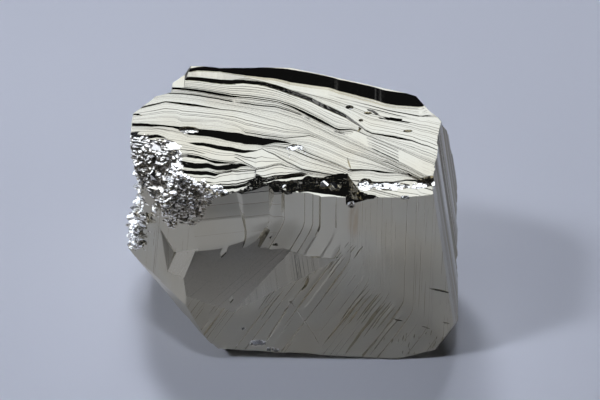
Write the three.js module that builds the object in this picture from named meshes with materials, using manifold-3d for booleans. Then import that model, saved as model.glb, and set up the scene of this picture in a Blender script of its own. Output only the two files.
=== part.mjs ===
// A pyrite specimen: one blocky crystal, grown as a single piece and resting on its flat base.
//
// Its habit is a squat cube with bevelled corners. The top is a mirror-bright face, broken by low growth
// terraces that step down towards the front left corner and are closed off by a raised rim at the back.
// The front has a steep, set-back facet on its left half. A rough hollow, where a neighbouring crystal
// was once in contact, bites into the upper left corner, and the lower left corner is undercut.
//
// Units are millimetres, +X is to the right, +Y to the back and +Z up. The crystal is first laid out
// about its own centre, and is then moved so that the middle of the underside of its box is the origin.
import * as THREE from "three";
import { mergeVertices } from "three/addons/utils/BufferGeometryUtils.js";
import Module from "manifold-3d";

const wasm = await Module();
wasm.setup();

// Driving dimensions.
const HEIGHT = 36.6; // from the base to the top of the back rim
const PLATEAU = 35; // the highest part of the top face, in front of the rim
const LOW_FLOOR = 33.4; // the right end of the lowest terrace of the top face, along the front
const FRONT = -21.85; // where the front face stands
const CENTRE = new THREE.Vector3(0, -2, 17); // the point that the facets are measured from
const SPAN = 200; // longer than anything on the crystal, for the blocks that cut it

// Each facet is a plane: the heading of its outward normal from +X towards +Y, how far that normal
// rises above the horizontal, both in degrees, and the facet's distance from CENTRE.
const facet = (heading, rise, reach) => ({ heading, rise, reach });
const level = (z) => facet(0, 90, z - CENTRE.z);

const normalOf = ({ heading, rise }) => {
  const h = THREE.MathUtils.degToRad(heading);
  const r = THREE.MathUtils.degToRad(rise);
  return new THREE.Vector3(Math.cos(h) * Math.cos(r), Math.sin(h) * Math.cos(r), Math.sin(r));
};

// The facet with the given direction that passes through a point.
function facetAt(heading, rise, x, y, z) {
  const normal = normalOf({ heading, rise });
  return facet(heading, rise, normal.dot(new THREE.Vector3(x, y, z).sub(CENTRE)));
}

const HABIT = {
  top: level(HEIGHT),
  base: facet(0, -90, CENTRE.z),
  front: facet(-90, 0, CENTRE.y - FRONT),
  right: facet(-7, 9.5, 25.8),
  rightShoulder: facet(31, 32, 26.3),
  rightBack: facet(27, -6, 25.9),
  rightBackLow: facet(12, -21, 25.2),
  back: facet(68, 12, 15.4),
  backLeft: facet(88, 10, 16.35),
  leftBack: facet(143, 6, 24.9),
  left: facetAt(180, 5, -27.8, 0, 34),
  frontLeft: facet(-135, 4, 26.9),
  leftUndercut: facetAt(-141, -18.9, -20, FRONT, 14.6),
  leftToe: facetAt(200, -38, -28, -12.4, 15.3),
  frontToe: facetAt(-95, -52, -4, FRONT, 1.6),
  rightUndercut: facetAt(-30, -25, 24.9, FRONT, 6.5),
  rightToe: facetAt(-45, -64.7, 22.6, FRONT, 2.2),
};

// Cuts into that habit, each of which takes away whatever lies beyond all of its facets. The plateaus
// and terraces of the top lean a little to the left.
const rimSteps = [facetAt(-93, 36, 0, 8.8, PLATEAU), facetAt(-108, 36, 6.7, 6.2, PLATEAU)];
const stripedSlope = facetAt(-133.6, 81, -2.5, -11.4, LOW_FLOOR);
const lowFloor = facetAt(-145, 86, 0.5, -14.6, LOW_FLOOR);
const CUTS = {
  plateau: [facetAt(180, 88.5, 15, 0, PLATEAU), ...rimSteps],
  curvedStep: [facetAt(-150, 88, 10, -5, 34.6), facetAt(-139, 60, 3.5, 3, 34.8), ...rimSteps],
  diagonalStep: [facetAt(-150, 88, 10, -10, 34.2), facetAt(-137, 60, 9.5, -9, 34.5), ...rimSteps],
  rightShelf: [facetAt(-90, 88, 15, -20, 33.6), facetAt(-92, 52, 15, -16.6, 34.2)],
  middleTerrace: [facetAt(-150, 86, -8, -7, 33.6), facetAt(-103, 60, -9, -5.9, 34.4), stripedSlope],
  lowTerraceLeft: [lowFloor, facetAt(-103, 60, -16, -11.6, 33.1), stripedSlope],
  lowTerraceRight: [lowFloor, facetAt(-75, 60, -13.2, -12.5, 33.1), stripedSlope],
  frontBevel: [facetAt(-78, 50, 0.5, -14.6, LOW_FLOOR), facetAt(-140, 50, 5.5, -15.8, LOW_FLOOR)],
  recess: [
    facetAt(-79.5, 0, -5, -17.65, 0),
    facetAt(-79.5, 14.5, -12, FRONT, 11),
    facetAt(-117, 0, 3.5, FRONT, 0),
    facetAt(-120, 38, -9.8, FRONT, 10.8),
  ],
  leftFlare: [facetAt(-135, 0, -17.2, -20, 25), facetAt(-138, 28, -17.2, -20, 20.5)],
  roughCorner: [facetAt(175, 34, -19.3, -13, 33), facetAt(-100, 50, -22, -8.6, 33.6)],
  roughBevel: [facetAt(-112, 40, -14.7, -18.6, 32.3), facetAt(-150, 20, -18.5, -16, 32)],
  leftNotch: [facetAt(184, -12.7, -27.8, -5, 31.8), facetAt(178, 17, -26, -5, 23.7)],
};

// A closed three.js geometry as a solid.
function solidOf(geometry) {
  const bare = geometry.index ? geometry.toNonIndexed() : geometry.clone();
  bare.deleteAttribute("normal");
  bare.deleteAttribute("uv");
  const merged = mergeVertices(bare, 1e-4);
  return new wasm.Manifold(
    new wasm.Mesh({
      numProp: 3,
      vertProperties: merged.attributes.position.array,
      triVerts: new Uint32Array(merged.index.array),
    }),
  );
}

// A solid as a three.js geometry, with flat facets.
function geometryOf(solid) {
  const mesh = solid.getMesh();
  const made = new THREE.BufferGeometry();
  made.setAttribute("position", new THREE.BufferAttribute(new Float32Array(mesh.vertProperties), 3));
  made.setIndex(new THREE.BufferAttribute(new Uint32Array(mesh.triVerts), 1));
  const flat = made.toNonIndexed();
  flat.computeVertexNormals();
  return flat;
}

// The block that fills the space outside a facet.
function outside(plane) {
  const block = new THREE.BoxGeometry(SPAN, SPAN, SPAN);
  block.translate(0, 0, SPAN / 2 + plane.reach);
  const turn = new THREE.Quaternion().setFromUnitVectors(new THREE.Vector3(0, 0, 1), normalOf(plane));
  block.applyQuaternion(turn);
  block.translate(CENTRE.x, CENTRE.y, CENTRE.z);
  return solidOf(block);
}

// The space that lies beyond all of the given facets.
const beyond = (planes) => planes.map(outside).reduce((space, next) => space.intersect(next));

function crystal() {
  const block = solidOf(new THREE.BoxGeometry(SPAN / 2, SPAN / 2, SPAN / 2));
  const taken = [...Object.values(HABIT).map(outside), ...Object.values(CUTS).map(beyond)];
  return taken.reduce((solid, space) => solid.subtract(space), block);
}

const geometry = geometryOf(crystal());
geometry.computeBoundingBox();
const box = geometry.boundingBox;
const middle = box.getCenter(new THREE.Vector3());
geometry.translate(-middle.x, -middle.y, -box.min.z);

const pyrite = new THREE.MeshStandardMaterial({ color: 0xb5ae98, roughness: 0.12, metalness: 1 });
const specimen = new THREE.Group();
const body = new THREE.Mesh(geometry, pyrite);
body.name = "pyrite_crystal";
specimen.add(body);

export default specimen;
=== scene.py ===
"""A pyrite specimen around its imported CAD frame.

The CAD solid has the crystal's main facets. Here the uncut crystal is built again from its outer
facets, and then cut with closed blocks whose undersides carry the growth steps, striations and broken
patches, so that what shows is real geometry. Lengths are in millimetres until the finished mesh is
scaled to metres. Points are written in the CAD part's own layout, whose origin lies LAYOUT away from
the middle of its box.

A facet is given as its heading, its rise and a point that it passes through: the heading is the way
that it faces, in degrees from +X towards +Y, and the rise is how far it faces up.
"""

import itertools
import math

import bmesh
import bpy
import numpy as np
from mathutils import Euler, Matrix, Vector


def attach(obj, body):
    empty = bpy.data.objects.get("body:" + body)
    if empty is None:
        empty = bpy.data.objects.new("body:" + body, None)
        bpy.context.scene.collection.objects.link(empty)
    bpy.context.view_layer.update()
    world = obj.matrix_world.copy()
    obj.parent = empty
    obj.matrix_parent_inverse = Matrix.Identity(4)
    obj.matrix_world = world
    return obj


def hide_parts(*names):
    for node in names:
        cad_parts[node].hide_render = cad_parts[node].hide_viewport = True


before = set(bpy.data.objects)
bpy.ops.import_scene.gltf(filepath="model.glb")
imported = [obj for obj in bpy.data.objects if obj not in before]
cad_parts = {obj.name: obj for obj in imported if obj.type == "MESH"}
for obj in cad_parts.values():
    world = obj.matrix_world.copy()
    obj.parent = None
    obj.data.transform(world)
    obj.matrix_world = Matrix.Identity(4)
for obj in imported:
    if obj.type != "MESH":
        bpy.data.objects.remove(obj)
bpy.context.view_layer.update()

MM = 0.001
LAYOUT = np.array([1.382, 1.799, 0.0])
FRONT = -21.85  # where the front face stands
FAR = 70.0  # further than anything on the crystal

SMOOTH, ROUGH_PAINTED_BRIGHT, PAINTED_SHADE = 0, 1, 2  # the crystal's finishes, in the order of its material slots; the rough one is painted paler than bare pyrite as painted brightness, and the last one is painted darker as painted shade


# --- small helpers --------------------------------------------------------------------------------


def along(pairs, at):
    """The value at each place in `at`, read off a curve given as (place, value) pairs."""
    places, values = zip(*pairs)
    return np.interp(at, places, values)


def smooth_noise(random, count, cell):
    """Random values between -1 and 1 that change smoothly, with a new one every `cell` of `count` places."""
    knots = random.uniform(-1, 1, int(count / cell) + 4)
    at = np.arange(count) / cell + random.uniform(0, 1)
    base = at.astype(int)
    blend = at - base
    blend = blend * blend * (3 - 2 * blend)
    return knots[base] * (1 - blend) + knots[base + 1] * blend


def sine(degrees):
    """The sine of an angle in degrees."""
    return math.sin(math.radians(degrees))


def strip_width(random, usual):
    """The width of one striation: many are narrow, and a few are wide."""
    return usual * (0.35 + random.exponential(0.65))


def new_object(name, points, faces):
    """A mesh object in the scene, from its points and from the numbers of the points of each face."""
    mesh = bpy.data.meshes.new(name)
    mesh.from_pydata([tuple(p) for p in points], [], faces)
    made = bpy.data.objects.new(name, mesh)
    bpy.context.scene.collection.objects.link(made)
    return made


def facet_axes(heading, rise):
    """A facet's axes: along it to the right, up it, and out of it."""
    h, r = math.radians(heading), math.radians(rise)
    out = np.array([math.cos(h) * math.cos(r), math.sin(h) * math.cos(r), math.sin(r)])
    side = np.array([-math.sin(h), math.cos(h), 0.0])
    return side, np.cross(out, side), out


# --- cutters: closed blocks whose underside is the surface that they leave behind -----------------


def volume_of(points, faces):
    """Six times the volume inside a closed mesh of four-sided faces. It is negative if they face inwards."""
    a, b, c, d = (points[faces[:, corner]] for corner in range(4))
    return (np.cross(a, b) * c).sum() + (np.cross(a, c) * d).sum()


def block_over(surface, lift, finish=SMOOTH):
    """A closed block from a surface, a grid of points [row, column, xyz], out to `lift` beyond it."""
    rows, columns = surface.shape[:2]
    low = surface.reshape(-1, 3)
    lift = np.asarray(lift, float)
    unit = lift / np.linalg.norm(lift)
    level = (low @ unit).max() + np.linalg.norm(lift)
    high = low + np.outer(level - low @ unit, unit)
    count = len(low)
    number = np.arange(count).reshape(rows, columns)
    a, b = number[:-1, :-1].ravel(), number[:-1, 1:].ravel()
    c, d = number[1:, 1:].ravel(), number[1:, :-1].ravel()
    rim = np.concatenate([number[0, :], number[1:, -1], number[-1, -2::-1], number[-2:0:-1, 0]])
    after = np.roll(rim, -1)
    faces = np.concatenate([
        np.stack([a, b, c, d], 1),
        np.stack([a, d, c, b], 1) + count,
        np.stack([after, rim, rim + count, after + count], 1),
    ])
    points = np.vstack([low, high])
    if volume_of(points, faces) < 0:
        faces = faces[:, ::-1]
    return finished(new_object("cutter", points, faces.tolist()), finish)


def finished(block, finish):
    """Gives a block one finish all over, and the crystal's material slots."""
    for polygon in block.data.polygons:
        polygon.material_index = finish
    for material in MATERIALS:
        block.data.materials.append(material)
    return block


def combine(body, other, operation):
    """Joins another closed mesh to the body, cuts it away or keeps what they share, and removes it."""
    step = body.modifiers.new("step", "BOOLEAN")
    step.operation = operation
    step.solver = "MANIFOLD"
    step.object = other
    bpy.context.view_layer.update()
    graph = bpy.context.evaluated_depsgraph_get()
    made = bpy.data.meshes.new_from_object(body.evaluated_get(graph))
    body.modifiers.clear()
    old = body.data
    body.data = made
    bpy.data.meshes.remove(old)
    bpy.data.objects.remove(other)


def cut(body, *blocks):
    """Takes away the space that all of the blocks share."""
    cutter = blocks[0]
    for block in blocks[1:]:
        combine(cutter, block, "INTERSECT")
    combine(body, cutter, "DIFFERENCE")


# --- surfaces -------------------------------------------------------------------------------------


def framed(grid, turn):
    """Turns a grid of (along, across, height) points in its own plane, and pads it out to FAR."""
    rows, columns = grid.shape[:2]
    wide = np.empty((rows + 2, columns + 2, 3))
    wide[1:-1, 1:-1] = grid
    wide[0, 1:-1], wide[-1, 1:-1] = grid[0], grid[-1]
    wide[0, :, 1] = -FAR if grid[0, 0, 1] < grid[-1, 0, 1] else FAR
    wide[-1, :, 1] = -wide[0, 0, 1]
    wide[:, 0], wide[:, -1] = wide[:, 1], wide[:, -2]
    wide[:, 0, 0], wide[:, -1, 0] = -FAR, FAR
    c, s = math.cos(math.radians(turn)), math.sin(math.radians(turn))
    a, b = wide[..., 0].copy(), wide[..., 1].copy()
    wide[..., 0] = a * c - b * s
    wide[..., 1] = a * s + b * c
    return wide


def striae(seed, pitch=0.5, depth=0.12, tilt=3.0, lean=0.0, turn=0, span=(-20, 20, -20, 20)):
    """Growth striations: strips that lean a little, with small steps between them.

    They run at `turn` degrees from the facet's horizontal. `pitch` is their usual width and `depth` how
    far they lie below the facet. They lean by about `lean` degrees, give or take `tilt`.
    """
    columns = 14
    waviness = 0.1  # of the strips' edges, against `pitch`
    unevenness = 0.45  # of their level, against `depth`
    random = np.random.default_rng(seed)
    left, right, low, high = span
    a = np.linspace(left, right, columns)
    widths = []
    while sum(widths) < high - low:
        widths.append(strip_width(random, pitch))
    edges = low + np.concatenate([[0], np.cumsum(widths)])
    rows = []
    level = np.full(columns, -depth / 2)
    lines = [edge + waviness * pitch * smooth_noise(random, columns, 4) for edge in edges]
    for start, end, width in zip(lines, lines[1:], widths):
        slope = width * math.tan(math.radians(random.normal(lean, tilt)))
        level = level + depth * unevenness * smooth_noise(random, columns, 6) * random.uniform(0.2, 1.4)
        level = np.clip(level - slope / 2, -depth, 0)
        other = np.clip(level + slope, -depth, 0)
        inset = np.minimum(np.abs(other - level) + 0.02, 0.2 * width)
        rows.append(np.stack([a, start + 0.5 * inset, level], 1))
        rows.append(np.stack([a, end - 0.5 * inset, other], 1))
        level = other
    return framed(np.array(rows), turn)


def broken(
    seed, cell=0.36, tilt=26, lean=0.0, aside=0.0, depth=0.15, swell=0.6, clumps=0.4, tread=0.95,
    span=(-20, 20, -20, 20),
):
    """A broken or druse-covered surface: small flat facets, each leaning its own way.

    They lean back by about `lean` degrees and to the right by about `aside`, give or take `tilt`. `tread`
    is the share of the way up that they take, and the steps between them take the rest. `depth` is how
    far below the facet they may lie, `swell` how much deeper the surface lies in its hollows, and
    `clumps` the share of them that make up larger facets, each of three by three.
    """
    jitter = 0.35  # how far a corner strays, against `cell`
    steepest = 65  # degrees
    breadth = 0.95  # the share of its cell's width that a facet takes
    random = np.random.default_rng(seed)
    left, right, low, high = span
    columns, rows = int((right - left) / cell), int((high - low) / cell)
    a, b = np.meshgrid(np.linspace(left, right, columns + 1), np.linspace(low, high, rows + 1))
    a = a + random.uniform(-jitter, jitter, a.shape) * cell
    b = b + random.uniform(-jitter, jitter, a.shape) * cell
    middle_a, middle_b = ((g[:-1, :-1] + g[1:, 1:] + g[:-1, 1:] + g[1:, :-1]) / 4 for g in (a, b))
    waves = 0
    for reach in (0.5, 0.9, 1.6):
        heading, phase = random.uniform(0, 2 * math.pi, 2)
        way = middle_a * math.cos(heading) + middle_b * math.sin(heading)
        waves = waves + np.sin(reach * way + phase) / 3
    level = -depth * random.uniform(0, 1, middle_a.shape) - swell * (0.5 + 0.5 * waves)
    angles = np.stack([random.normal(0, tilt, level.shape), random.laplace(0, 0.5 * tilt, level.shape)])
    angles = np.clip(angles - [[[aside]], [[lean]]], -steepest, steepest)
    lean_a, lean_b = np.tan(np.radians(angles))
    for _ in range(int(clumps * rows * columns / 9)):
        i, j = random.integers(0, rows - 2), random.integers(0, columns - 2)
        clump = np.s_[i:i + 3, j:j + 3]
        lean_a[clump], lean_b[clump] = lean_a[i + 1, j + 1], lean_b[i + 1, j + 1]
        rise = lean_a[clump] * (middle_a[clump] - middle_a[i + 1, j + 1])
        rise += lean_b[clump] * (middle_b[clump] - middle_b[i + 1, j + 1])
        level[clump] = level[i + 1, j + 1] + rise
    grid = np.empty((2 * rows, 2 * columns, 3))
    for i in (0, 1):
        for j in (0, 1):
            corner_a = a[i:rows + i, j:columns + j] * breadth + middle_a * (1 - breadth)
            corner_b = b[i:rows + i, j:columns + j] * tread + middle_b * (1 - tread)
            grid[i::2, j::2, 0] = corner_a
            grid[i::2, j::2, 1] = corner_b
            grid[i::2, j::2, 2] = level + lean_a * (corner_a - middle_a) + lean_b * (corner_b - middle_b)
    return framed(grid, 0)


def facet(heading, rise, through, surface=None, finish=SMOOTH):
    """The block outside a facet that faces the given way through a point, with that surface."""
    side, up, out = facet_axes(heading, rise)
    if surface is None:
        surface = framed(np.array([[(a, b, 0) for a in (-1, 1)] for b in (-1, 1)], float), 0)
    a, b, height = (surface[..., axis:axis + 1] for axis in range(3))
    grid = np.asarray(through, float) + a * side + b * up + height * out
    return block_over(grid, out * FAR, finish)


# --- small closed shapes --------------------------------------------------------------------------


def hull_of(points, finish, merge=0.0):
    """The block between points. Those that lie within `merge` of each other count as one."""
    shell = bmesh.new()
    for point in points:
        shell.verts.new(point)
    if merge:
        bmesh.ops.remove_doubles(shell, verts=shell.verts, dist=merge)
    bmesh.ops.convex_hull(shell, input=shell.verts)
    inner = [vertex for vertex in shell.verts if not vertex.link_faces]
    bmesh.ops.delete(shell, geom=inner, context="VERTS")
    bmesh.ops.recalc_face_normals(shell, faces=shell.faces)
    made = new_object("block", [], [])
    shell.to_mesh(made.data)
    shell.free()
    return finished(made, finish)


def nugget(seed, centre, radii):
    """A little crystal of its own, intergrown with the large one: the block between 11 points."""
    points = np.random.default_rng(seed).normal(size=(11, 3))
    points /= np.linalg.norm(points, axis=1)[:, None]
    return hull_of(np.array(centre) + points * np.array(radii), ROUGH_PAINTED_BRIGHT)


def grow_nuggets(body, nuggets, seed):
    """Grows little crystals, given as (centre, radii), on the body."""
    for number, (centre, radii) in enumerate(nuggets, seed):
        combine(body, nugget(number, centre, radii), "UNION")


def druse(seed, heading, rise, through, outline, count, size):
    """Many little plates grown over a facet. They lie nearly level, and lean a little to the front.

    `outline` is (left, right, low, high) about the point that the facet goes through, and `size` is the
    usual length of a plate's edge.
    """
    sink = 0.15  # how far below the facet they sit
    lean, tilt = 7, 7  # how far they lean, and how much that varies, in degrees
    random = np.random.default_rng(seed)
    side, up, out = facet_axes(heading, rise)
    left, right, low, high = outline
    plates = []
    for _ in range(count):
        a, b = random.uniform(left, right), random.uniform(low, high)
        middle = np.asarray(through, float) + a * side + b * up - sink * random.uniform(-0.5, 2) * out
        angles = [lean + random.normal(0, 0.6 * tilt), random.normal(0, tilt), random.uniform(-60, 60)]
        turn = Euler(np.radians(angles)).to_matrix()
        half = 0.5 * size * random.uniform(0.5, 1.5, 3) * (1.3, 1.3, 0.6)
        corners = [turn @ Vector(half * corner) for corner in itertools.product((-1, 1), repeat=3)]
        plates.append(hull_of([middle + np.array(corner) for corner in corners], ROUGH_PAINTED_BRIGHT))
    return joined(plates)


def slab(heading, rise, through, outline, depth, finish=SMOOTH):
    """A flat block with a convex outline of (along, up) points, from `depth` below a facet to 3 mm above it.

    `depth` is one number, or a depth for each point of the outline.
    """
    side, up, out = facet_axes(heading, rise)
    outline = np.array(outline, float)
    flat = np.asarray(through, float) + outline[:, :1] * side + outline[:, 1:] * up
    floor = flat - np.broadcast_to(np.asarray(depth, float), len(outline))[:, None] * out
    return hull_of(np.vstack([floor, flat + 3 * out]), finish)


def oval(across, up):
    """The outline of an oval with nine flat sides, as (along, up) points."""
    around = np.linspace(0, 2 * math.pi, 9, endpoint=False) + 0.3
    return np.stack([across * np.cos(around), up * np.sin(around)], 1)


def score(seed, heading, rise, through, points, width=0.25, depth=0.12, skew=0.6):
    """A thin bar that scores a line into a facet, and runs out at both of its ends.

    `points` are (along, up) from the point that the facet goes through, and `skew` says on which side
    the line is steep: 1 is the right-hand side, seen along it from its start.
    """
    spacing = 0.9  # between the points along the bar
    lift = 0.2  # how far the bar stands out of the facet
    random = np.random.default_rng(seed)
    side, up, out = facet_axes(heading, rise)
    points = np.array(points, float)
    reach = np.concatenate([[0], np.cumsum(np.linalg.norm(np.diff(points, axis=0), axis=1))])
    count = max(4, int(reach[-1] / spacing))
    at = np.linspace(0, reach[-1], count)
    path = np.stack([np.interp(at, reach, points[:, 0]), np.interp(at, reach, points[:, 1])], 1)
    run = np.gradient(path, axis=0)
    right = np.stack([run[:, 1], -run[:, 0]], 1) / np.linalg.norm(run, axis=1)[:, None]
    path = path + right * (0.15 * width * smooth_noise(random, count, 2))[:, None]
    size = np.clip(np.sin(math.pi * (at / reach[-1] * 0.94 + 0.03)), 0.1, 0.6) / 0.6
    spread = 0.5 * width * (1 + lift / depth)
    edges = []
    for offset, height in [(-spread, lift), (0.5 * skew * width, -depth), (spread, lift)]:
        place = path + right * (offset * size)[:, None]
        level = height * size if height < 0 else np.full(count, height)
        edges.append(np.asarray(through) + place[:, :1] * side + place[:, 1:] * up + level[:, None] * out)
    return bar_between(edges)


def bar_between(edges):
    """A closed bar with three sides, between three rows of points."""
    count = len(edges[0])
    faces = []
    for i in range(count - 1):
        for j in range(3):
            k = (j + 1) % 3
            faces.append([3 * i + j, 3 * i + k, 3 * i + 3 + k, 3 * i + 3 + j])
    faces += [[2, 1, 0], [3 * count - 3, 3 * count - 2, 3 * count - 1]]
    made = new_object("bar", np.stack(edges, 1).reshape(-1, 3), faces)
    shell = bmesh.new()
    shell.from_mesh(made.data)
    bmesh.ops.triangulate(shell, faces=shell.faces)
    bmesh.ops.recalc_face_normals(shell, faces=shell.faces)
    shell.to_mesh(made.data)
    shell.free()
    return finished(made, SMOOTH)


def joined(blocks):
    """Blocks, which may overlap, as one."""
    whole = blocks[0]
    for block in blocks[1:]:
        combine(whole, block, "UNION")
    return whole


# --- the top: growth lines from the back rim to the front -----------------------------------------


def line(points, drop, before=((0, 0.02),), count=1, slope=30, grit=0.0):
    """One growth line of the top face. Its upper edge runs through `points`, each as (x, y).

    `drop` is the height of the step at it, and `before` is how far small steps lower the face between
    the last line and this one, each as (x, height). `count` is the number of those small steps, and
    `slope` is the steepness of the risers in degrees. `grit` is how broken up the riser is.
    """
    return {"points": points, "drop": drop, "before": before, "count": count, "slope": slope, "grit": grit}


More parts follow.
